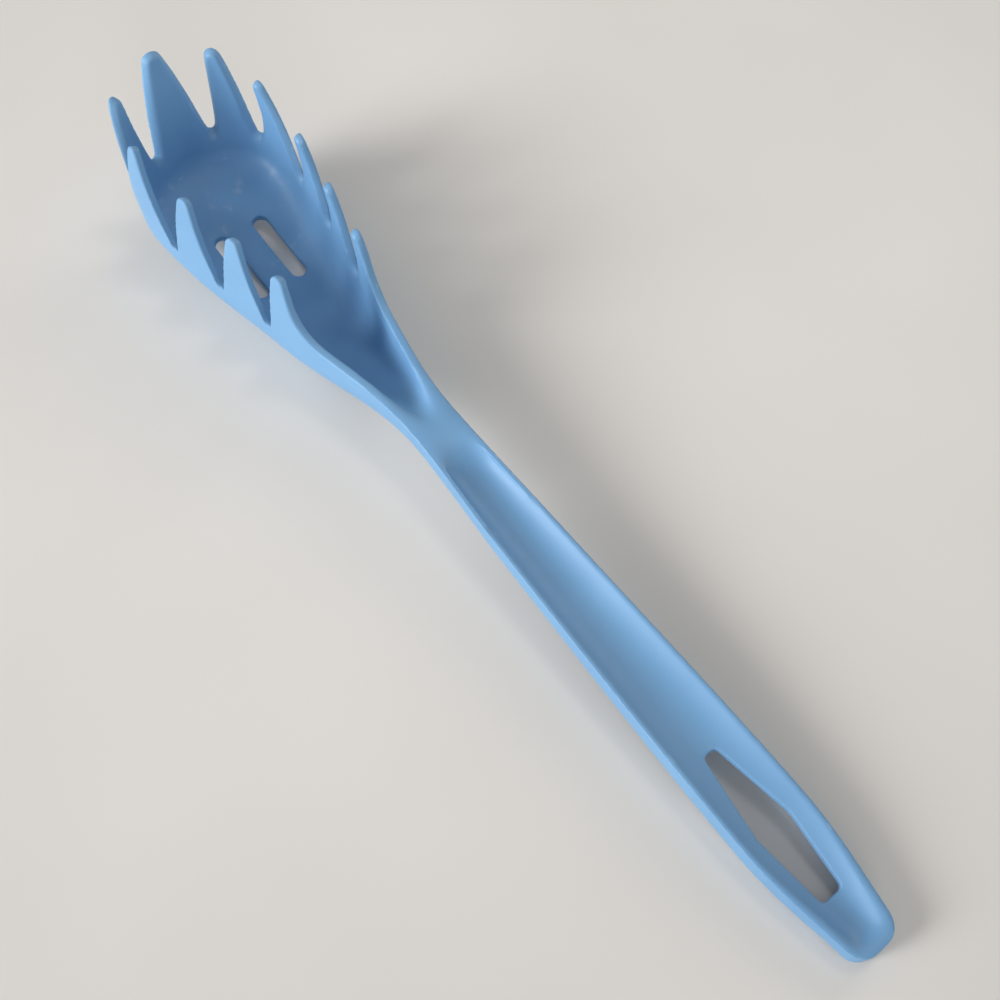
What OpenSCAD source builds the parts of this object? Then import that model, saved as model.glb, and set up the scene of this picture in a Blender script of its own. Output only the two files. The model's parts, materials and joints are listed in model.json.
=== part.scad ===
// Pasta server moulded in one piece: a narrow scoop with eleven tines and two drain
// slots, a waisted neck, and a trough-shaped handle with a long hanging hole.
// Millimetres. +X runs from the tines to the end of the handle and +Z is up. The
// server lies on z = 0, with the origin under the middle of its length.

/* [Overall] */
// Length over the front tine and the end of the handle
length = 291; // [260:1:330]
// Wall thickness of the bowl
wall = 2.5; // [1.8:0.1:3]
// Wall thickness at the tip of the front tine
tip_wall = 2.5; // [1.6:0.1:2.8]
// Thickness of the bowl floor
floor_t = 2.4; // [1.8:0.1:3.2]

/* [Bowl] */
// Outer width at the widest section
bowl_w = 46; // [40:0.2:52]
// Distance from the widest section to the front wall, low down
bowl_front = 18.5; // [15:0.5:24]
// Distance from the widest section back to the neck
bowl_run = 102; // [92:1:112]
// How far the front wall leans out at the tip of the front tine
front_lean = 6.5; // [0:0.5:9]
// How far the side walls lean in at the height of the front tip
side_tuck = 3.8; // [0:0.1:5]
// Exponent of the squarish front outline at the tips, where 2 is an ellipse
front_squareness = 3.4; // [2:0.1:5]
// Exponent of the rounder outline low down
low_squareness = 2; // [1.8:0.1:3]
// Distance from the widest section back to the rear shoulder
shoulder_run = 53.5; // [45:0.5:60]
// Outer width at the rear shoulder
shoulder_w = 29.6; // [26:0.2:35]
// Outer radius between the floor and the wall
corner_r = 16; // [9:0.5:17]
// Distance from the widest section back to the end of the level floor
flat_run = 50; // [44:1:54]
// Angle at which the floor rises towards the front
front_tilt = 10.5; // [0:0.5:13]
// Distance from the widest section back to the foot of that rise
rise_run = 30; // [22:1:32]
// Length over which the floor bends into the rise
rise_bend = 12; // [6:1:18]
// Height of the rim behind the tines
rear_rim_z = 20.8; // [19:0.5:26]
// Length over which the hollow narrows to a point at the neck
hollow_taper = 20; // [12:1:30]

/* [Tines] */
// Height of the tip of the front tine
front_tip_z = 48; // [44:0.5:56]
// Height of the tips next to the front tine
first_tip_z = 44.5; // [40:0.5:50]
// Height of the rearmost tips
last_tip_z = 39; // [35:0.5:46]
// Radius of the tips
tip_r = 2.1; // [1.5:0.1:2.6]
// Radius at the bottom of the gaps between tines
gap_r = 1.3; // [0.8:0.1:1.8]
// How much narrower a tine is on its inner face, at each foot
flank_bevel = 1.4; // [0.4:0.1:1.6]
// How much smaller the radius of a tip is on the inner face
tip_bevel = 0.8; // [0.3:0.1:1.4]
// Height of the gaps next to the front tine
front_gap_z = 19.5; // [16:0.5:23]
// Height of the rearmost gaps
rear_gap_z = 15; // [14.5:0.5:19]
// Width of the front tine between its two gaps
front_tine_w = 20; // [16:0.5:23]
// Width of the corner tine between its gaps
corner_tine_w = 16.5; // [13:0.5:18]
// How far the tip of the corner tine is set towards the front
corner_tip_lead = 3.7; // [0:0.1:5]
// Width of the tine at the widest section, between its gaps
wide_tine_w = 22; // [17:0.5:24]
// How far the tip of that tine is set towards the front
wide_tip_lead = 4; // [0:0.1:5]
// Width of the first tine behind the widest section
side_tine_w = 18.5; // [16:0.5:21]
// How much narrower the next tine is
side_tine_step = 0.5; // [0:0.5:4]
// How far the tips of these two are set towards the front
side_tip_lead = 1.8; // [0:0.1:3]
// Distance from the rearmost gap to the tip of the last tine
last_tine_offset = 5.7; // [4.5:0.1:8]
// Radius of the sweep from the last tine down to the rear rim
sweep_r = 12; // [8:0.5:13]
// Distance from the tip of the last tine to the foot of that sweep
sweep_run = 16; // [15.5:0.5:20]

/* [Drain slots] */
// Length of a slot
slot_l = 24; // [18:0.5:30]
// Width of a slot
slot_w = 4.8; // [3:0.1:6]
// Distance between the centre lines of the two slots
slot_gap = 13.2; // [9:0.1:15]
// Distance from the widest section back to the middle of the slots
slot_run = 18.8; // [15:0.1:21]

/* [Neck] */
// Outer width at the neck
neck_w = 13.4; // [11:0.2:16]
// Height of the top of the neck
neck_z = 19.5; // [18:0.5:26]
// Height of the section at the neck
neck_h = 10; // [8:0.5:11]
// Length of the level saddle between the bowl and the trough of the handle
saddle_l = 9; // [6:0.5:18]
// Width of the faint dish along the saddle
saddle_w = 3; // [2:0.5:6]
// Depth of the faint dish along the saddle
saddle_d = 0.1; // [0.1:0.1:0.8]

/* [Handle] */
// Height of the handle section
handle_h = 7; // [6.4:0.2:9]
// Depth of the trough
trough_d = 3.6; // [1.6:0.2:4.2]
// Thickness of the plate under the trough
plate_t = 2.2; // [1.6:0.1:2.6]
// Width of the rims beside the trough
rim_w = 1.2; // [0.8:0.1:2.4]
// Length over which the trough deepens behind the saddle
trough_ramp = 10; // [6:1:24]
// Length of the rounded start of the trough
trough_round = 6; // [3:0.5:9]
// Distance from the neck to the start of the grip
grip_run = 39; // [30:1:60]
// Height of the rim at the start of the grip
grip_z = 15.4; // [13:0.2:17]
// Outer width at the start of the grip
grip_w = 16.6; // [14:0.2:20]

/* [Hanging end] */
// Distance from the widest point of the handle to its end
hang_run = 34.5; // [29:0.5:40]
// Height of the rim at the widest point of the handle
hang_z = 9.3; // [8.5:0.1:10]
// Outer width at the widest point of the handle
hang_w = 20.8; // [20:0.2:28]
// Depth of the trough beside the hanging hole
hang_trough_d = 3.2; // [1.4:0.2:3.6]
// Height of the section at the widest point of the handle
hang_h = 8.2; // [6.8:0.2:8.4]
// Outer width of the end before its corners are rounded
end_w = 12.8; // [12:0.2:18]
// Height of the end
end_h = 6.6; // [5.5:0.1:8]
// Corner radius of the end
end_r = 4.4; // [2.8:0.2:5]
// Width of the rim round the end
end_rim_w = 2.2; // [1.2:0.1:2.6]
// Length of the hanging hole
hole_l = 41.4; // [30:0.2:43]
// Width of the hanging hole at its corners
hole_w = 10.6; // [7:0.2:13]
// Width of the hole's end towards the bowl
hole_front_w = 4; // [3:0.2:6]
// Width of the hole's end towards the end of the handle
hole_rear_w = 6.4; // [3:0.2:7]
// Distance from the end of the hole to the end of the handle
hole_margin = 14.9; // [12:0.1:18]
// Corner radius of the hole
hole_r = 1.4; // [0.8:0.1:1.5]

/* [Hidden] */

plastic = [0.44, 0.63, 0.81];

// Stations along X
front_x = -length / 2;
end_x = length / 2;
wide_x = front_x + front_lean + bowl_front;
shoulder_x = wide_x + shoulder_run;
neck_x = wide_x + bowl_run;
trough_x = neck_x + saddle_l;
grip_x = neck_x + grip_run;
hang_x = end_x - hang_run;
trough_end_x = end_x - end_rim_w;
channel_end_x = end_x - end_r;
rise_x = wide_x + rise_run;
hole_rear_x = end_x - hole_margin;
hole_front_x = hole_rear_x - hole_l;
// Solid handle kept in front of the hole, on the hanging end
hang_lead = 6;
hang_start_x = hole_front_x - hang_lead;

// The floor and the wall meet in a corner no higher than the lowest gap
corner_room = 0.5;
corner_z = min(corner_r, rear_gap_z - flank_bevel - corner_room);
// Share of a small section that its rounded corner may take: on the bowl and the neck,
// under the handle, and in the trough
corner_share = 0.6;
handle_share = 0.2;
trough_share = 0.92;
// Share of the trough's width that the channel under the handle has
channel_share = 0.86;
// Length over which that channel runs out before the end
channel_ramp = 7;
// Rounding of the lower edges beside the channel
skirt_edge = 0.8;
// Above this height the wall thins towards the tips
taper_z = max(rear_rim_z, neck_z);
// Straight part of the end between its rounded corners, on one side
end_flat = end_w / 2 - end_r;
// Corner radius of the trough's end, parallel to the outer one
trough_end_r = max(end_r - end_rim_w, 0.4);
// Least radius of the inner face of a tip
inner_tip_r = 0.4;
flat_x = wide_x + flat_run;

// Facets: along a corner, up a wall, across a tine, up a flank, round a tip, round a gap,
// along the rear rim, and along the neck, handle and hanging end
corner_n = 7;
wall_n = 2;
tine_n = 4;
flank_n = 4;
tip_n = 4;
gap_n = 6;
rear_n = 9;
saddle_n = 3;
neck_n = 8;
// The neck's stations lie closer together at the start of the trough
neck_crowding = 1.5;
handle_n = 12;
hang_n = 14;
end_n = 6;
// The facets round a tip stop short of the apex, at this angle
tip_stop = 78;

// Smooth steps from 0 to 1
function limit(t) = min(max(t, 0), 1);
function ease(t) = let (u = limit(t)) u * u * (3 - 2 * u);
function rise(t) = let (u = limit(t)) u * u * (2 - u);
function mix(a, b, t) = a + (b - a) * t;

// Smooth curve through stations [x, value], level at the first and at every turn
function station_rate(st, i) = (st[i + 1][1] - st[i][1]) / (st[i + 1][0] - st[i][0]);
function station_slope(st, i) =
    i == 0
    ? 0
    : let (a = station_rate(st, i - 1), b = i == len(st) - 1 ? a : station_rate(st, i))
      a * b > 0 ? 2 * a * b / (a + b) : 0;
function station_index(st, x, i = 0) =
    (i >= len(st) - 2 || x < st[i + 1][0]) ? i : station_index(st, x, i + 1);
function station_curve(st, x) =
    let (
        i = station_index(st, x),
        run = st[i + 1][0] - st[i][0],
        t = limit((x - st[i][0]) / run),
        start = station_slope(st, i) * run,
        finish = station_slope(st, i + 1) * run
    )
    mix(st[i][1], st[i + 1][1], ease(t)) + start * t * (1 - t) * (1 - t) - finish * t * t * (1 - t);

// Half width of the outline
width_stations = [
    [wide_x, bowl_w / 2],
    [shoulder_x, shoulder_w / 2],
    [neck_x, neck_w / 2],
    [grip_x, grip_w / 2],
    [hang_x, hang_w / 2],
    [end_x, end_w / 2]
];
// How much an end corner of radius r takes off, for an outline that ends at x_end
function end_round(x, x_end, r) =
    let (t = limit((x - x_end + r) / r))
    r * (1 - sqrt(1 - t * t));
function half_width(x) = station_curve(width_stations, x) - end_round(x, end_x, end_r);

// The section changes along the neck from that of the bowl to that of the handle
function handle_form(x) = ease((x - neck_x) / grip_run);

// Height of the rim, height of the section, and height of the underside along the middle
rim_stations = [
    [shoulder_x, rear_rim_z],
    [neck_x, neck_z],
    [grip_x, grip_z],
    [hang_x, hang_z],
    [end_x, end_h]
];
height_stations = [
    [neck_x, neck_h],
    [grip_x, handle_h],
    [hang_x, hang_h],
    [end_x, end_h]
];
function rim_z(x) = station_curve(rim_stations, x);
function front_lift(x) =
    let (run = max(rise_x - x, 0), bend = min(run, rise_bend))
    tan(front_tilt) * (bend * bend / (2 * rise_bend) + run - bend);
function under_z(x) =
    x >= neck_x
    ? rim_z(x) - station_curve(height_stations, x)
    : front_lift(x) + (neck_z - neck_h) * ease((x - flat_x) / (neck_x - flat_x));

// Floor height and half width of the hollow: in the bowl, the saddle and the trough
function trough_depth(x) =
    let (
        full = mix(trough_d, hang_trough_d, ease((x - grip_x) / (hang_x - grip_x))),
        t = limit((x - trough_end_x + end_r) / end_r)
    )
    mix(saddle_d, full, ease((x - trough_x) / trough_ramp)) * (1 - t * t);
function hollow_floor(x) =
    x < neck_x
    ? front_lift(x) + mix(floor_t, rim_z(x) - saddle_d, rise((x - flat_x) / (neck_x - flat_x)))
    : rim_z(x) - trough_depth(x);
function rim_at(x) = mix(rim_w, end_rim_w, ease((x - hang_x) / (trough_end_x - hang_x)));
function trough_half(x) =
    x < trough_end_x
    ? station_curve(width_stations, x) - rim_at(x) - end_round(x, trough_end_x, trough_end_r)
    : mix(end_flat, end_flat / 2, (x - trough_end_x) / end_rim_w);
// Share of its width that the trough has behind its rounded start
function trough_start(x) =
    let (t = limit(1 - (x - trough_x) / trough_round))
    sqrt(1 - t * t);
function hollow_half(x) =
    let (t = limit((x - neck_x + hollow_taper) / hollow_taper))
    x < neck_x
    ? mix(half_width(x) - wall, saddle_w / 2, t * t)
    : mix(saddle_w / 2, trough_half(x), trough_start(x));

// Top of the rounded corner between floor and wall, outside (skin 0) and in the hollow (1)
function share_of(x, skin) =
    mix(corner_share, skin == 0 ? handle_share : trough_share, handle_form(x));
function corner_top(x) =
    let (base = under_z(x))
    base + min(corner_z - front_lift(x), share_of(x, 0) * (rim_z(x) - base));
function hollow_corner_top(x) =
    let (base = hollow_floor(x))
    base + min(corner_z - floor_t - front_lift(x), share_of(x, 1) * (rim_z(x) - base));

// Plan outline of the bowl by a running number p: 0 at the front, 1 at the widest
// section, 2 at the neck
function squarish_r(angle, a, b, n) =
    pow(pow(abs(cos(angle)) / a, n) + pow(abs(sin(angle)) / b, n), -1 / n);
function plan_angle(p) = 180 - 90 * p;
function plan_x(p) = wide_x + (p - 1) * bowl_run;
function plan_point(p) =
    p <= 1
    ? let (a = plan_angle(p), r = squarish_r(a, bowl_front, bowl_w / 2, front_squareness))
      [wide_x + r * cos(a), r * sin(a)]
    : [plan_x(p), half_width(plan_x(p))];

// Distance s along that outline, from the front, against p
plan_n = 120;
plan_list = [for (i = [0:plan_n]) plan_point(2 * i / plan_n)];
plan_table = [
    for (
        i = 0, s = 0;
        i <= plan_n;
        s = s + norm(plan_list[min(i + 1, plan_n)] - plan_list[i]), i = i + 1
    )
        [s, 2 * i / plan_n]
];
plan_end = plan_table[plan_n][0];
function plan_at(s) = lookup(s, plan_table);

// A point of the wall at distance s and height z; skin 0 is the outer face, 1 the inner
function wall_point(s, z, skin) =
    let (
        p = plan_at(abs(s)),
        side = s < 0 ? -1 : 1,
        up = max(z - corner_z, 0) / (front_tip_z - corner_z),
        straight = ease((plan_x(p) - shoulder_x) / (neck_x - shoulder_x)),
        tuck = side_tuck * pow(up, 3) * (1 - straight),
        inset = skin * mix(wall, tip_wall, limit((z - taper_z) / (front_tip_z - taper_z)))
    )
    p <= 1
    ? let (
        a = plan_angle(p),
        square = mix(low_squareness, front_squareness, up),
        r = squarish_r(a, bowl_front + front_lean * up - inset, bowl_w / 2 - tuck - inset, square)
      )
      [wide_x + r * cos(a), side * r * sin(a), z]
    : let (x = plan_x(p), y = skin == 0 ? half_width(x) : hollow_half(x) + wall - inset)
      [x, side * (y - tuck), z];

// The floor and rounded corner of a rib, from the middle of the floor out to the wall.
// The corner is round with dish 0, and opens into a shallow dish with dish 1.
function rib_corner(spine, foot, skin, dish = 0) =
    let (
        reach = norm([foot[0] - spine[0], foot[1]]),
        along = [foot[0] - spine[0], foot[1]] / reach,
        corner = min(corner_r - skin * wall, share_of(spine[0], skin) * reach)
    )
    concat(
        [spine],
        [for (i = [0:corner_n - 1])
            let (
                a = 90 * i / corner_n,
                out = reach - corner * (1 - sin(a)),
                up = mix(1 - cos(a), pow(sin(a), 2), dish)
            )
            let (
                x = spine[0] + along[0] * out,
                floor_z = spine[2] + front_lift(x) - front_lift(spine[0])
            )
            [x, along[1] * out, mix(floor_z, foot[2], up)]]
    );

// A rib of the bowl at distance s, up to height z_top
function bowl_rib(s, z_top, skin) =
    let (
        x = max(plan_x(plan_at(abs(s))), wide_x),
        spine = [x, 0, skin == 0 ? under_z(x) : hollow_floor(x)],
        top = skin == 0 ? corner_top(x) : hollow_corner_top(x)
    )
    concat(
        rib_corner(spine, wall_point(s, top, skin), skin),
        [for (i = [0:wall_n]) wall_point(s, mix(top, z_top, i / wall_n), skin)]
    );

// Half of the handle's outer section over the open channel, from the middle of the plate
// out to the skirt and up to the rim; it has as many points as a plain half
function channel_rib(x, side) =
    let (
        out = half_width(x),
        inner = channel_share * hollow_half(x),
        base = under_z(x),
        last = corner_n + wall_n - 4
    )
    concat(
        [for (i = [0:last])
            let (y = inner * i / last, up = pow(y / hollow_half(x), 2))
            [x, side * y, mix(hollow_floor(x), rim_z(x), up) - plate_t]],
        [
            [x, side * inner, base + skirt_edge],
            [x, side * (inner + skirt_edge), base],
            [x, side * (out - skirt_edge), base],
            [x, side * out, base + skirt_edge],
            [x, side * out, rim_z(x)]
        ]
    );
// The channel opens behind the saddle and closes before the end
function channel_form(x) =
    ease((x - trough_x) / (grip_x - trough_x)) * ease((channel_end_x - x) / channel_ramp);

// A full section of the neck or handle at x, from the left rim to the right one
function plain_rib(x, side, skin) =
    let (
        y = side * (skin == 0 ? half_width(x) : hollow_half(x)),
        spine = [x, 0, skin == 0 ? under_z(x) : hollow_floor(x)],
        top = skin == 0 ? corner_top(x) : hollow_corner_top(x)
    )
    concat(
        rib_corner(spine, [x, y, top], skin, skin * handle_form(x)),
        [for (i = [0:wall_n]) [x, y, mix(top, rim_z(x), i / wall_n)]]
    );
function body_rib(x, side, skin) =
    let (plain = plain_rib(x, side, skin), channel = channel_rib(x, side))
    skin == 1
    ? plain
    : [for (i = [0:len(plain) - 1]) mix(plain[i], channel[i], channel_form(x))];
function body_section(x, skin) =
    let (left = body_rib(x, -1, skin), right = body_rib(x, 1, skin), n = len(left) - 1)
    concat([for (i = [n:-1:1]) left[i]], right);

// Places of the gaps and tips along the outline, from the front tine back
gap_s = [
    front_tine_w / 2,
    front_tine_w / 2 + corner_tine_w,
    front_tine_w / 2 + corner_tine_w + wide_tine_w,
    front_tine_w / 2 + corner_tine_w + wide_tine_w + side_tine_w,
    front_tine_w / 2 + corner_tine_w + wide_tine_w + 2 * side_tine_w - side_tine_step
];
tip_s = [
    0,
    (gap_s[0] + gap_s[1]) / 2 - corner_tip_lead,
    (gap_s[1] + gap_s[2]) / 2 - wide_tip_lead,
    (gap_s[2] + gap_s[3]) / 2 - side_tip_lead,
    (gap_s[3] + gap_s[4]) / 2 - side_tip_lead,
    gap_s[4] + last_tine_offset
];
sweep_s = tip_s[5] + sweep_run;
sweep_x = plan_x(plan_at(sweep_s));
// Circles at the tips and in the gaps, as [s, z, radius], on the outer face (skin 0) and
// on the inner one (1), where the flanks are bevelled
function tip_circle(i, skin) =
    let (z = i == 0 ? front_tip_z : mix(first_tip_z, last_tip_z, (i - 1) / 4))
    [tip_s[i], z - tip_r, max(tip_r - skin * tip_bevel, inner_tip_r)];
function gap_circle(i, skin) =
    i == 5
    ? [sweep_s, rim_z(sweep_x) + sweep_r, sweep_r]
    : [gap_s[i], mix(front_gap_z, rear_gap_z, i / 4) + gap_r, gap_r + skin * flank_bevel];

// Lean from the vertical of the flank that touches a gap circle and a tip circle
function flank_lean(gap, tip) =
    let (run = abs(tip[0] - gap[0]), up = tip[1] - gap[1])
    atan2(run, up) - asin((gap[2] + tip[2]) / norm([run, up]));
// A point of a circle, on its front half (way -1) or its rear half (way 1)
function round_point(circle, way, angle) =
    [circle[0] + way * circle[2] * cos(angle), circle[1] + circle[2] * sin(angle)];

// One flank of a tine, from its foot on the gap up to the tip, as points [s, z]
function flank(gap, tip, way) =
    let (
        lean = flank_lean(gap, tip),
        foot = round_point(gap, -way, -lean),
        shoulder = round_point(tip, way, lean)
    )
    concat(
        [for (i = [0:flank_n]) mix(foot, shoulder, i / flank_n)],
        [for (i = [1:tip_n]) round_point(tip, way, mix(lean, tip_stop, i / tip_n))]
    );
function gap_before(i, skin) =
    let (gap = gap_circle(max(i - 1, 0), skin))
    i == 0 ? [-gap[0], gap[1], gap[2]] : gap;
function tine_front(i, skin) = flank(gap_before(i, skin), tip_circle(i, skin), -1);
function tine_rear(i, skin) = flank(gap_circle(i, skin), tip_circle(i, skin), 1);

// The edge of the bowl on one side, from the front back to the neck, as points [s, z]
function tine_foot(i, skin) =
    let (a = tine_front(i, skin)[0], b = tine_rear(i, skin)[0])
    [for (j = [(i == 0 ? tine_n / 2 : 0):tine_n]) mix(a, b, j / tine_n)];
function gap_bottom(i, skin) =
    let (
        gap = gap_circle(i, skin),
        from = -90 + flank_lean(gap, tip_circle(i, skin)),
        to = i == 5 ? 0 : 90 - flank_lean(gap, tip_circle(i + 1, skin)),
        last = i == 5 ? gap_n : gap_n - 1
    )
    [for (j = [1:last])
        let (a = mix(from, to, j / gap_n))
        [gap[0] + gap[2] * sin(a), gap[1] - gap[2] * cos(a)]];
rear_rim = [
    for (j = [1:rear_n])
        let (s = mix(sweep_s, plan_end, j / rear_n))
        [s, rim_z(plan_x(plan_at(s)))]
];
function bowl_edge(skin) =
    concat([for (i = [0:5]) each concat(tine_foot(i, skin), gap_bottom(i, skin))], rear_rim);
function round_bowl(skin) =
    let (edge = bowl_edge(skin), n = len(edge) - 1)
    concat([for (i = [n:-1:1]) [-edge[i][0], edge[i][1]]], edge);

// A closed sheet between two grids of points, outer[u][v] and inner[u][v]. With
// folded set, the edge v = 0 is a fold in the middle of the sheet and stays open.
module sheet(outer, inner, folded = false) {
    nu = len(outer);
    nv = len(outer[0]);
    points = [for (grid = [outer, inner]) each [for (column = grid) each column]];
    function at(layer, u, v) = (layer * nu + u) * nv + v;
    function whole(face) =
        points[face[0]] != points[face[1]]
        && points[face[1]] != points[face[2]]
        && points[face[2]] != points[face[0]];
    quads = concat(
        [for (u = [0:nu - 2], v = [0:nv - 2])
            each [
                [at(0, u, v), at(0, u + 1, v), at(0, u + 1, v + 1), at(0, u, v + 1)],
                [at(1, u, v + 1), at(1, u + 1, v + 1), at(1, u + 1, v), at(1, u, v)]
            ]],
        [for (u = [0:nu - 2])
            each concat(
                [[at(0, u, nv - 1), at(0, u + 1, nv - 1), at(1, u + 1, nv - 1), at(1, u, nv - 1)]],
                folded ? [] : [[at(1, u, 0), at(1, u + 1, 0), at(0, u + 1, 0), at(0, u, 0)]]
            )],
        [for (v = [0:nv - 2])
            each [
                [at(0, 0, v), at(0, 0, v + 1), at(1, 0, v + 1), at(1, 0, v)],
                [at(1, nu - 1, v), at(1, nu - 1, v + 1), at(0, nu - 1, v + 1), at(0, nu - 1, v)]
            ]]
    );
    faces = [for (q = quads) each [[q[0], q[1], q[2]], [q[0], q[2], q[3]]]];
    polyhedron(points, [for (face = faces) if (whole(face)) face]);
}

// A length of the neck or handle through the given stations
module body(stations) {
    sheet([for (x = stations) body_section(x, 0)], [for (x = stations) body_section(x, 1)]);
}

function steps(from, to, n) = [for (i = [0:n]) mix(from, to, i / n)];

module drain_slots() {
    for (side = [-1, 1])
        translate([wide_x + slot_run, side * slot_gap / 2, -floor_t])
            linear_extrude(4 * floor_t + front_lift(wide_x)) {
                square([slot_l - slot_w, slot_w], center = true);
                for (way = [-1, 1])
                    translate([way * (slot_l - slot_w) / 2, 0])
                        circle(d = slot_w, $fn = 32);
            }
}

module bowl() {
    color(plastic)
        difference() {
            sheet(
                [for (e = round_bowl(0)) bowl_rib(e[0], e[1], 0)],
                [for (e = round_bowl(1)) bowl_rib(e[0], e[1], 1)],
                folded = true
            );
            drain_slots();
        }
}

// Tine i, counted back from the front tine, on the right-hand side
module tine(i) {
    function grid(skin) =
        let (front = tine_front(i, skin), rear = tine_rear(i, skin))
        [for (j = [0:tine_n])
            [for (r = [0:len(front) - 1])
                let (e = mix(front[r], rear[r], j / tine_n))
                wall_point(e[0], e[1], skin)]];
    color(plastic)
        sheet(grid(0), grid(1));
}

module left_tine(i) {
    mirror([0, 1, 0])
        tine(i);
}

module neck() {
    color(plastic)
        body(concat(
            steps(neck_x, trough_x, saddle_n),
            [for (i = [1:neck_n]) trough_x + trough_ramp * pow(i / neck_n, neck_crowding)]
        ));
}

module handle() {
    color(plastic)
        body(steps(trough_x + trough_ramp, hang_start_x, handle_n));
}

// Outline of the hanging hole: six corners, rounded
module hole_outline() {
    offset(r = hole_r, $fn = 32)
        offset(delta = -hole_r)
            polygon([
                [hole_front_x, -hole_front_w / 2],
                [hang_x, -hole_w / 2],
                [hole_rear_x, -hole_rear_w / 2],
                [hole_rear_x, hole_rear_w / 2],
                [hang_x, hole_w / 2],
                [hole_front_x, hole_front_w / 2]
            ]);
}

module hanging_end() {
    straight = steps(hang_start_x, end_x - end_r, hang_n);
    rounded = [for (i = [1:end_n]) end_x - end_r * (1 - sin(90 * i / end_n))];
    color(plastic)
        difference() {
            body(concat(straight, rounded));
            translate([0, 0, -handle_h])
                linear_extrude(4 * handle_h)
                    hole_outline();
        }
}

bowl();
neck();
handle();
hanging_end();
tine(0);  // front_tine
left_tine(1);  // left_tine_1
left_tine(2);  // left_tine_2
left_tine(3);  // left_tine_3
left_tine(4);  // left_tine_4
left_tine(5);  // left_tine_5
tine(1);  // right_tine_1
tine(2);  // right_tine_2
tine(3);  // right_tine_3
tine(4);  // right_tine_4
tine(5);  // right_tine_5
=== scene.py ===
"""A pasta server moulded in one piece from satin blue plastic, on a pale studio floor."""

import json
import math

import bpy
from mathutils import Matrix, Vector

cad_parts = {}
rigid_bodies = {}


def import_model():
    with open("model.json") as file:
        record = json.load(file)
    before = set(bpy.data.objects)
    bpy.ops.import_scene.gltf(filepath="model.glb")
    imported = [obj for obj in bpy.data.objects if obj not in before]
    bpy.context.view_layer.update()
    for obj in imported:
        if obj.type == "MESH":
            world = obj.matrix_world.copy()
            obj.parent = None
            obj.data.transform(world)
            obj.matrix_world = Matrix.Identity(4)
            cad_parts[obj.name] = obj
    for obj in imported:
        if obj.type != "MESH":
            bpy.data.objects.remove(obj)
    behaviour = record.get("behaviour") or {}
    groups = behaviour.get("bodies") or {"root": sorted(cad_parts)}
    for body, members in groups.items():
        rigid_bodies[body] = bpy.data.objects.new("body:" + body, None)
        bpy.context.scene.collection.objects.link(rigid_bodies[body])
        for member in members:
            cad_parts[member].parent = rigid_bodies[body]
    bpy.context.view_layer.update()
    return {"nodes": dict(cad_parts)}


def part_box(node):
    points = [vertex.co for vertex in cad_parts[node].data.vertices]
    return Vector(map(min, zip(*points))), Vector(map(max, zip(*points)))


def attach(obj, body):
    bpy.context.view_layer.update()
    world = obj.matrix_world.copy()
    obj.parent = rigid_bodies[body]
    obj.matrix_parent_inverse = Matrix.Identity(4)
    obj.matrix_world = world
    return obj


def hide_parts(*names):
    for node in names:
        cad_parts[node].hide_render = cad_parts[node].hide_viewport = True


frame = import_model()

# The photograph's camera, in metres and degrees
IMAGE_PX = 1000
FOCAL_PX = 1208.8
SENSOR_MM = 36.0
CAMERA_AZIMUTH = 47.83
CAMERA_ELEVATION = 62.32
CAMERA_ROLL = 3.65
CAMERA_SLIDE_RIGHT = -0.00664
CAMERA_SLIDE_UP = -0.00098
CAMERA_DISTANCE = 0.32369
CAMERA_NEAREST = 0.01

# The moulding's skin, in metres and degrees
WELD = 0.000002
PLANE_REACH = 0.00002
QUAD_BEND = 40
SHARP_EDGE = 60
SKIN_LEVELS = 2
SKIN_VOXEL = 0.00028
SKIN_TRIANGLES = 180000
SMOOTHING = 0.5
EDGE_ROUNDING_STEPS = 16

# Where the top surface flows without a crease, in metres
SCOOP_END_X = -0.036
SCOOP_RIM_Z = 0.0190
SCOOP_RIM_RUN = 0.003
SCOOP_WALL_Y = 0.010
SADDLE_START_X = -0.026
SADDLE_END_X = -0.009
TROUGH_START_X = 0.016
TROUGH_FLOOR_Y = 0.0040
TROUGH_SIDE_Y = 0.0065
HOLE_START_X = 0.088
HOLE_END_X = 0.133
HOLE_HALF_W = 0.0062

# How freely it flows there, from 0 to 1
SADDLE_FLOW = 0.9
TROUGH_START_FLOW = 0.6
TROUGH_FLOOR_FLOW = 0.6
TROUGH_RIM_FLOW = 0.2
FLOW_STEPS = 320

# How squarely a surface has to face up, or in towards the middle, to count as part of a hollow
SCOOP_FACES_UP = 0.2
SCOOP_FACES_IN = 0.5
HANDLE_FACES_UP = 0.5
SADDLE_FACES_IN = 0.3

# The tines are a little fuller than their solids and fully rounded, in metres
TINE_FOOT_Z = 0.017
TINE_ROOT_Z = 0.023
TINE_FULLNESS = 0.0006
TINE_SHOULDER_Z = 0.025
TINE_TIP_Z = 0.040
TINE_ROUNDING_STEPS = 26
FRONT_CENTRE_X = -0.118

# The soft dip that leads from the saddle into the trough, in metres
DIP_START_X = -0.016
DIP_MIDDLE_X = -0.007
DIP_END_X = 0.004
DIP_HALF_W = 0.0055
DIP_DEPTH = 0.0008

# The plastic's colours, and how strongly wear and the smears, with their painted sheen, tint it
BODY_DEEP = (0.147, 0.324, 0.554, 1)
BODY_LIGHT = (0.177, 0.373, 0.612, 1)
BODY_STOPS = [(0.25, BODY_DEEP), (0.75, BODY_LIGHT)]
# Pale grey of the smears, which is partly a painted sheen of reflected light
SMEAR_AND_SHEEN_COLOUR = (0.46, 0.57, 0.64, 1)
WORN_COLOUR = (0.44, 0.60, 0.76, 1)
SMEAR_AND_SHEEN_TINT = 0.38
WEAR_TINT = 0.30

# The scales of the plastic's patterns, in repeats per metre
CLOUD_SCALE = 38.0
SMEAR_AND_SHEEN_SCALE = 150.0
RIPPLE_SCALE = 260.0
GRAIN_SCALE = 2600.0

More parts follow.
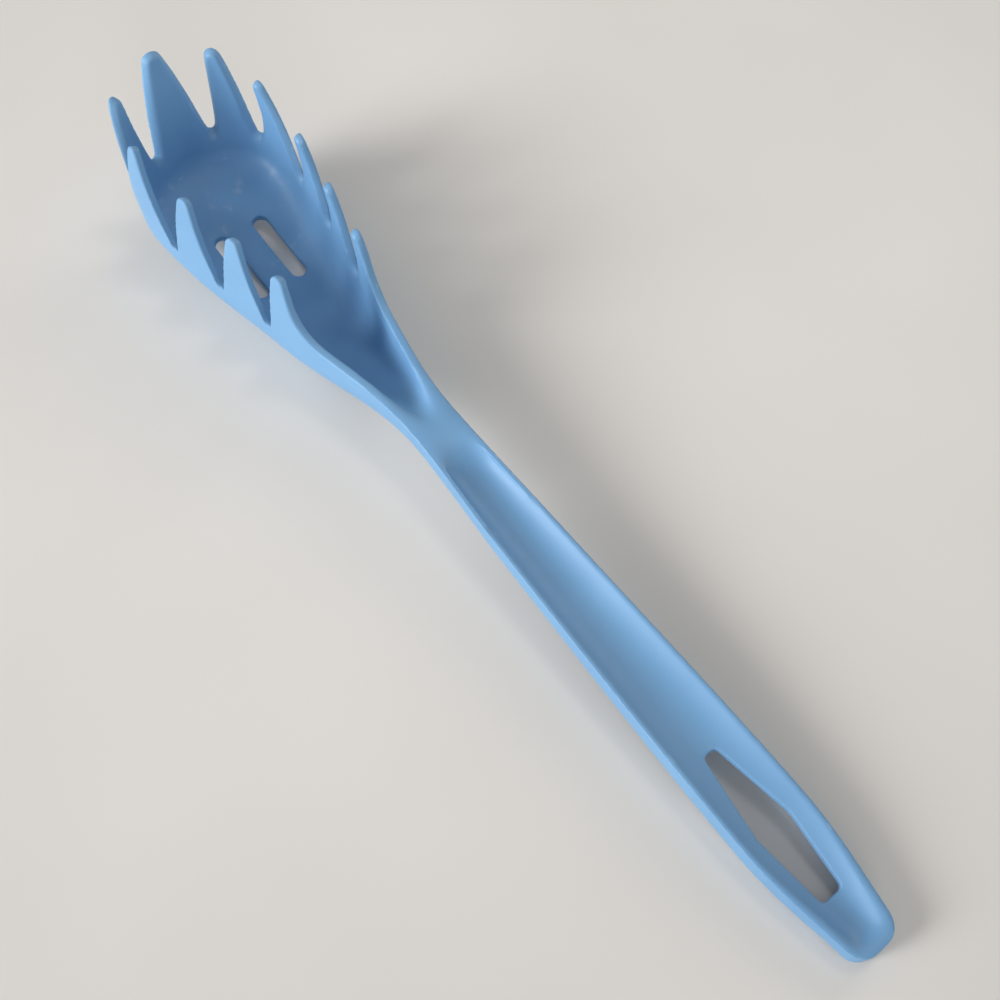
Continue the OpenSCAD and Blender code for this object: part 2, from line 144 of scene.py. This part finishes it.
# How sharp an edge is before it wears, and how much of its wear is even or patchy
WORN_EDGE_START = 0.52
WORN_EDGE_FULL = 0.60
EVEN_WEAR = 0.35
PATCHY_WEAR = 0.65

# Which streaks smear and carry a painted sheen, where along the scoop they lie, in metres, and how
# squarely it faces up there
SMEAR_AND_SHEEN_START = 0.56
SMEAR_AND_SHEEN_FULL = 0.74
SMEAR_AND_SHEEN_START_X = -0.078
SMEAR_AND_SHEEN_FULL_X = -0.098
SMEAR_AND_SHEEN_FACES_UP_START = 0.25
SMEAR_AND_SHEEN_FACES_UP_FULL = 0.75

# The plastic's gloss and grain
PLASTIC_IOR = 1.49
PLASTIC_ROUGHNESS = 0.39
CLOUD_ROUGHNESS = 0.12
RIPPLE_ROUGHNESS = 0.06
WEAR_ROUGHNESS = 0.08
SMEAR_AND_SHEEN_GLOSS = 0.16
GRAIN_STRENGTH = 0.10
GRAIN_DEPTH = 0.00004
RIPPLE_HEIGHT = 2.5

# The floor
FLOOR_RADIUS = 3.0
FLOOR_SIDES = 96
FLOOR_DEEP = (0.74, 0.71, 0.67, 1)
FLOOR_LIGHT = (0.78, 0.75, 0.71, 1)
FLOOR_STOPS = [(0.3, FLOOR_DEEP), (0.7, FLOOR_LIGHT)]
FLOOR_MOTTLE_SCALE = 9.0
FLOOR_ROUGHNESS = 0.85

# The light of the room, and what the lamps look at, in metres
ROOM_COLOUR = (1.0, 1.0, 1.0, 1)
ROOM_STRENGTH = 0.33
SCOOP_MIDDLE = (-0.09, 0, 0.02)
SCOOP_BACK = (-0.05, 0, 0.02)
SERVER_MIDDLE = (0, 0, 0.02)


def pick_only(piece):
    """Makes one piece the only selected and active one."""
    bpy.ops.object.select_all(action="DESELECT")
    piece.select_set(True)
    bpy.context.view_layer.objects.active = piece


def finish_with(piece, kind, **settings):
    """Adds a modifier to a piece, sets it and applies it."""
    pick_only(piece)
    modifier = piece.modifiers.new(kind.lower(), kind)
    for name, value in settings.items():
        setattr(modifier, name, value)
    bpy.ops.object.modifier_apply(modifier=modifier.name)


def copy_of_regions(nodes):
    """Copies the moulding's regions and joins the copies into one piece."""
    bpy.ops.object.select_all(action="DESELECT")
    for node in nodes.values():
        node.select_set(True)
    bpy.context.view_layer.objects.active = nodes["bowl"]
    bpy.ops.object.duplicate()
    for copy in bpy.context.selected_objects:
        for key in list(copy.keys()):
            del copy[key]
    bpy.ops.object.parent_clear(type="CLEAR")
    bpy.ops.object.join()
    piece = bpy.context.object
    piece.name = "moulding"
    piece.data.name = "moulding"
    piece.data.materials.clear()
    return piece


def drop_inner_faces(piece, planes):
    """Welds the regions and deletes the faces inside, where they met."""
    pick_only(piece)
    bpy.ops.object.mode_set(mode="EDIT")
    bpy.ops.mesh.select_all(action="SELECT")
    bpy.ops.mesh.remove_doubles(threshold=WELD)
    bpy.ops.mesh.select_mode(type="FACE")
    bpy.ops.mesh.select_all(action="DESELECT")
    bpy.ops.mesh.select_interior_faces()
    bpy.ops.object.mode_set(mode="OBJECT")
    corners = piece.data.vertices
    for face in piece.data.polygons:
        for plane in planes:
            if all(abs(corners[i].co.x - plane) < PLANE_REACH for i in face.vertices):
                face.select = True
    bpy.ops.object.mode_set(mode="EDIT")
    bpy.ops.mesh.delete(type="FACE")
    bpy.ops.object.mode_set(mode="OBJECT")


def smooth_facets(piece):
    """Turns the facets into even curves and keeps the real edges."""
    pick_only(piece)
    bpy.ops.object.mode_set(mode="EDIT")
    bpy.ops.mesh.select_all(action="SELECT")
    bpy.ops.mesh.tris_convert_to_quads(
        face_threshold=math.radians(QUAD_BEND),
        shape_threshold=math.radians(QUAD_BEND),
    )
    bpy.ops.mesh.select_mode(type="EDGE")
    bpy.ops.mesh.select_all(action="DESELECT")
    bpy.ops.mesh.edges_select_sharp(sharpness=math.radians(SHARP_EDGE))
    bpy.ops.transform.edge_crease(value=1.0)
    bpy.ops.object.mode_set(mode="OBJECT")
    finish_with(piece, "SUBSURF", levels=SKIN_LEVELS, render_levels=SKIN_LEVELS)


def ramp(value, start, end):
    """Rises from 0 at the start to 1 at the end."""
    return min(1.0, max(0.0, (value - start) / (end - start)))


def eased(value):
    """Lets a ramp from 0 to 1 start and end softly."""
    return value * value * (3.0 - 2.0 * value)


def facing_in(place, normal):
    """How squarely a point's surface faces the server's middle plane."""
    return -normal.y if place.y > 0 else normal.y


def scoop_flow(place, normal):
    """How freely a point inside the scoop may flow: its floor and walls, but not its rim."""
    on_wall = abs(place.y) > SCOOP_WALL_Y and facing_in(place, normal) > SCOOP_FACES_IN
    if normal.z < SCOOP_FACES_UP and not on_wall:
        return 0.0
    return ramp(place.z, SCOOP_RIM_Z, SCOOP_RIM_Z - SCOOP_RIM_RUN)


def handle_flow(place, normal):
    """How freely a point on top of the saddle or the handle may flow: the trough's rims least."""
    beside_hole = HOLE_START_X < place.x < HOLE_END_X and abs(place.y) < HOLE_HALF_W
    in_hollow = place.x < SADDLE_END_X and facing_in(place, normal) > SADDLE_FACES_IN
    if beside_hole or (normal.z < HANDLE_FACES_UP and not in_hollow):
        return 0.0
    if place.x < SADDLE_END_X:
        return SADDLE_FLOW
    if place.x < TROUGH_START_X:
        return TROUGH_START_FLOW
    rim = ramp(abs(place.y), TROUGH_FLOOR_Y, TROUGH_SIDE_Y)
    return TROUGH_FLOOR_FLOW + rim * (TROUGH_RIM_FLOW - TROUGH_FLOOR_FLOW)


def flow_at(place, normal):
    """How freely a point of the top surface may flow, from the scoop to the handle."""
    scoop = ramp(place.x, SADDLE_START_X, SCOOP_END_X)
    if scoop == 0.0:
        return handle_flow(place, normal)
    return scoop * scoop_flow(place, normal) + (1.0 - scoop) * handle_flow(place, normal)


def tine_at(place, normal):
    """How far a point belongs to the tines, whichever way it faces: wholly above their roots."""
    if place.x > SADDLE_START_X:
        return 0.0
    return ramp(place.z, TINE_FOOT_Z, TINE_ROOT_Z)


def tine_flank_at(place, normal):
    """How far a point lies on a tine's flanks or tip, and not on its inner or outer face."""
    if place.x > SADDLE_START_X:
        return 0.0
    outward = Vector((min(0.0, place.x - FRONT_CENTRE_X), place.y, 0)).normalized()
    return ramp(place.z, TINE_SHOULDER_Z, TINE_TIP_Z) * (1.0 - normal.dot(outward) ** 2)


def dip_at(place, normal):
    """How far a point lies in the soft dip where the trough starts."""
    before = ramp(place.x, DIP_START_X, DIP_MIDDLE_X)
    after = ramp(place.x, DIP_END_X, DIP_MIDDLE_X)
    along = min(before, after)
    if along == 0.0 or normal.z < HANDLE_FACES_UP:
        return 0.0
    across = max(0.0, 1.0 - (place.y / DIP_HALF_W) ** 2)
    return eased(along) * across


def weigh_points(piece, name, weight_at):
    """Makes a vertex group whose weights come from each point's place and normal."""
    group = piece.vertex_groups.new(name=name)
    for vertex in piece.data.vertices:
        weight = weight_at(vertex.co, vertex.normal)
        if weight > 0.0:
            group.add([vertex.index], weight, "REPLACE")
    return group.name


def smooth_points(piece, name, weight_at, steps):
    """Smooths a piece, each point as far as its weight lets it."""
    group = weigh_points(piece, name, weight_at)
    finish_with(piece, "SMOOTH", factor=SMOOTHING, iterations=steps, vertex_group=group)
    piece.vertex_groups.clear()


def swell_points(piece, name, weight_at, height):
    """Moves each point of a piece out along its normal, as far as its weight lets it."""
    group = weigh_points(piece, name, weight_at)
    finish_with(piece, "DISPLACE", strength=height, mid_level=0.0, vertex_group=group)
    piece.vertex_groups.clear()


def round_edges(piece):
    """Gives the piece one even skin and rounds its edges, as a mould does."""
    pick_only(piece)
    piece.data.remesh_voxel_size = SKIN_VOXEL
    piece.data.remesh_voxel_adaptivity = 0.0
    bpy.ops.object.voxel_remesh()
    finish_with(piece, "SMOOTH", factor=SMOOTHING, iterations=EDGE_ROUNDING_STEPS)
    swell_points(piece, "tine_flanks", tine_flank_at, TINE_FULLNESS)
    smooth_points(piece, "tines", tine_at, TINE_ROUNDING_STEPS)
    swell_points(piece, "trough_start", dip_at, -DIP_DEPTH)
    smooth_points(piece, "top_surface", flow_at, FLOW_STEPS)
    triangles = 2 * len(piece.data.polygons)
    if triangles > SKIN_TRIANGLES:
        finish_with(piece, "DECIMATE", ratio=SKIN_TRIANGLES / triangles)
    pick_only(piece)
    bpy.ops.object.shade_smooth()


class Socket:
    """Wraps a node's output, so that shader maths is written as plain sums."""

    def __init__(self, tree, output=None):
        self.tree = tree
        self.output = output

    def node(self, kind, settings=None, sockets=None, output=0):
        """Adds a node: its settings first, then the values or links of its sockets."""
        made = self.tree.nodes.new(kind)
        for name, value in (settings or {}).items():
            if name == "stops":
                stops = made.color_ramp.elements
                while len(stops) < len(value):
                    stops.new(0.5)
                for stop, (place, shade) in zip(stops, value):
                    stop.position = place
                    stop.color = shade
            else:
                setattr(made, name, value)
        for name, value in (sockets or {}).items():
            if isinstance(value, Socket):
                self.tree.links.new(value.output, made.inputs[name])
            else:
                made.inputs[name].default_value = value
        return Socket(self.tree, made.outputs[output] if made.outputs else None)

    def noise(self, scale, **sockets):
        """A noise pattern over this place."""
        return self.node("ShaderNodeTexNoise", None, {"Vector": self, "Scale": scale, **sockets})

    def part(self, letter):
        """One of this vector's three numbers."""
        return self.node("ShaderNodeSeparateXYZ", None, {"Vector": self}, output=letter)

    def soft_step(self, start, end):
        """Rises smoothly from 0 where this value is at the start to 1 at the end."""
        return self.node(
            "ShaderNodeMapRange",
            {"interpolation_type": "SMOOTHSTEP"},
            {"Value": self, "From Min": start, "From Max": end, "To Min": 0.0, "To Max": 1.0},
        )

    def tinted(self, amount, tint):
        """This colour, mixed towards a tint."""
        return self.node(
            "ShaderNodeMix",
            {"data_type": "RGBA"},
            {"Factor": amount, "A": self, "B": tint},
            output="Result",
        )

    def math(self, operation, first, second):
        """Adds a Math node for two values or numbers."""
        return self.node("ShaderNodeMath", {"operation": operation}, {0: first, 1: second})

    def __add__(self, other):
        return self.math("ADD", self, other)

    __radd__ = __add__

    def __sub__(self, other):
        return self.math("SUBTRACT", self, other)

    def __rsub__(self, other):
        return self.math("SUBTRACT", other, self)

    def __mul__(self, other):
        return self.math("MULTIPLY", self, other)

    __rmul__ = __mul__


def new_material(name):
    """An empty node material, as a socket that stands for its tree."""
    material = bpy.data.materials.new(name)
    material.use_nodes = True
    material.node_tree.nodes.clear()
    return material, Socket(material.node_tree)


def satin_blue_plastic():
    """Light blue moulded plastic: faint clouds, smears with a painted pale sheen on the scoop
    floor, a fine satin grain, paler worn edges.
    """
    material, start = new_material("satin_blue_plastic")
    place = start.node("ShaderNodeTexCoord", output="Object")
    clouds = place.noise(CLOUD_SCALE, Detail=3.0)
    grain = place.noise(GRAIN_SCALE, Detail=2.0)
    ripple = place.noise(RIPPLE_SCALE, Detail=2.0)
    sharpness = start.node("ShaderNodeNewGeometry", output="Pointiness")
    edges = sharpness.soft_step(WORN_EDGE_START, WORN_EDGE_FULL)
    wear = edges * (EVEN_WEAR + PATCHY_WEAR * ripple)
    streaks = place.noise(SMEAR_AND_SHEEN_SCALE, Detail=4.0, Roughness=0.6, Distortion=0.6)
    in_scoop = place.part("X").soft_step(SMEAR_AND_SHEEN_START_X, SMEAR_AND_SHEEN_FULL_X)
    facing = start.node("ShaderNodeNewGeometry", output="Normal")
    on_floor = facing.part("Z").soft_step(SMEAR_AND_SHEEN_FACES_UP_START, SMEAR_AND_SHEEN_FACES_UP_FULL)
    # Smears on the up-facing scoop floor, partly a painted sheen: a pale grey tint that stands for
    # reflected light, with a glossier finish
    smears_and_sheen = streaks.soft_step(SMEAR_AND_SHEEN_START, SMEAR_AND_SHEEN_FULL) * in_scoop * on_floor
    body = start.node(
        "ShaderNodeValToRGB",
        {"stops": BODY_STOPS},
        {"Fac": clouds},
    )
    # Tints the body towards the smears' painted sheen, and towards paler worn edges
    colour = body.tinted(SMEAR_AND_SHEEN_TINT * smears_and_sheen, SMEAR_AND_SHEEN_COLOUR).tinted(WEAR_TINT * wear, WORN_COLOUR)
    mottle = CLOUD_ROUGHNESS * clouds + RIPPLE_ROUGHNESS * ripple
    roughness = PLASTIC_ROUGHNESS + mottle + WEAR_ROUGHNESS * wear - SMEAR_AND_SHEEN_GLOSS * smears_and_sheen
    bump = start.node(
        "ShaderNodeBump",
        None,
        {
            "Strength": GRAIN_STRENGTH,
            "Distance": GRAIN_DEPTH,
            "Height": grain + RIPPLE_HEIGHT * ripple,
        },
    )
    shader = start.node(
        "ShaderNodeBsdfPrincipled",
        None,
        {"Base Color": colour, "Roughness": roughness, "Normal": bump, "IOR": PLASTIC_IOR},
    )
    start.node("ShaderNodeOutputMaterial", None, {"Surface": shader})
    return material


def pale_floor():
    """A plain pale floor with a very faint mottle."""
    bpy.ops.object.select_all(action="DESELECT")
    bpy.ops.mesh.primitive_circle_add(
        vertices=FLOOR_SIDES,
        radius=FLOOR_RADIUS,
        fill_type="NGON",
    )
    floor = bpy.context.object
    floor.name = "floor"
    material, start = new_material("pale_floor")
    place = start.node("ShaderNodeTexCoord", output="Object")
    colour = start.node(
        "ShaderNodeValToRGB",
        {"stops": FLOOR_STOPS},
        {"Fac": place.noise(FLOOR_MOTTLE_SCALE)},
    )
    shader = start.node(
        "ShaderNodeBsdfPrincipled",
        None,
        {"Base Color": colour, "Roughness": FLOOR_ROUGHNESS},
    )
    start.node("ShaderNodeOutputMaterial", None, {"Surface": shader})
    floor.data.materials.append(material)


def soft_lamp(name, place, target, size, watts, beam):
    """A soft round lamp that looks at a point, with its beam's width in degrees."""
    bpy.ops.object.light_add(type="AREA", location=place)
    lamp = bpy.context.object
    lamp.name = name
    lamp.data.shape = "DISK"
    lamp.data.size = size
    lamp.data.energy = watts
    lamp.data.spread = math.radians(beam)
    lamp.rotation_euler = (Vector(target) - Vector(place)).to_track_quat("-Z", "Y").to_euler()


def studio_light():
    """Soft window light from the server's left side, weak fills and a dim room."""
    soft_lamp(
        "window",
        place=(-0.45, -1.12, 0.50),
        target=SCOOP_MIDDLE,
        size=0.8,
        watts=1.75,
        beam=40,
    )
    soft_lamp(
        "low_fill",
        place=(1.12, -0.62, 0.34),
        target=SCOOP_BACK,
        size=0.6,
        watts=0.42,
        beam=50,
    )
    soft_lamp(
        "back_fill",
        place=(-0.20, 1.15, 0.60),
        target=SERVER_MIDDLE,
        size=0.7,
        watts=0.34,
        beam=50,
    )
    soft_lamp(
        "ceiling",
        place=(-0.05, 0.40, 1.10),
        target=SCOOP_MIDDLE,
        size=0.30,
        watts=0.14,
        beam=60,
    )
    world = bpy.data.worlds.new("room")
    world.use_nodes = True
    shade = world.node_tree.nodes["Background"]
    shade.inputs["Color"].default_value = ROOM_COLOUR
    shade.inputs["Strength"].default_value = ROOM_STRENGTH
    bpy.context.scene.world = world
    bpy.context.scene.view_settings.view_transform = "Standard"


def photograph_camera():
    """The camera where the photograph was taken, for a square image."""
    azimuth = math.radians(CAMERA_AZIMUTH)
    elevation = math.radians(CAMERA_ELEVATION)
    roll = math.radians(CAMERA_ROLL)
    level_right = Vector((math.cos(azimuth), math.sin(azimuth), 0))
    back = Vector((
        math.sin(azimuth) * math.cos(elevation),
        -math.cos(azimuth) * math.cos(elevation),
        math.sin(elevation),
    ))
    level_up = back.cross(level_right)
    right = math.cos(roll) * level_right + math.sin(roll) * level_up
    up = math.cos(roll) * level_up - math.sin(roll) * level_right
    place = CAMERA_DISTANCE * back - CAMERA_SLIDE_RIGHT * right - CAMERA_SLIDE_UP * up
    bpy.ops.object.camera_add()
    camera = bpy.context.object
    turn = Matrix((right, up, back)).transposed().to_4x4()
    camera.matrix_world = Matrix.Translation(place) @ turn
    camera.data.sensor_width = SENSOR_MM
    camera.data.sensor_fit = "HORIZONTAL"
    camera.data.lens = FOCAL_PX * SENSOR_MM / IMAGE_PX
    camera.data.clip_start = CAMERA_NEAREST
    bpy.context.scene.camera = camera


photograph_camera()
moulding = copy_of_regions(frame["nodes"])
meeting_planes = [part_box("neck")[0].x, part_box("handle")[0].x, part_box("hanging_end")[0].x]
drop_inner_faces(moulding, meeting_planes)
smooth_facets(moulding)
round_edges(moulding)
moulding.data.materials.append(satin_blue_plastic())
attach(moulding, "root")
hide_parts(*frame["nodes"])
pale_floor()
studio_light()
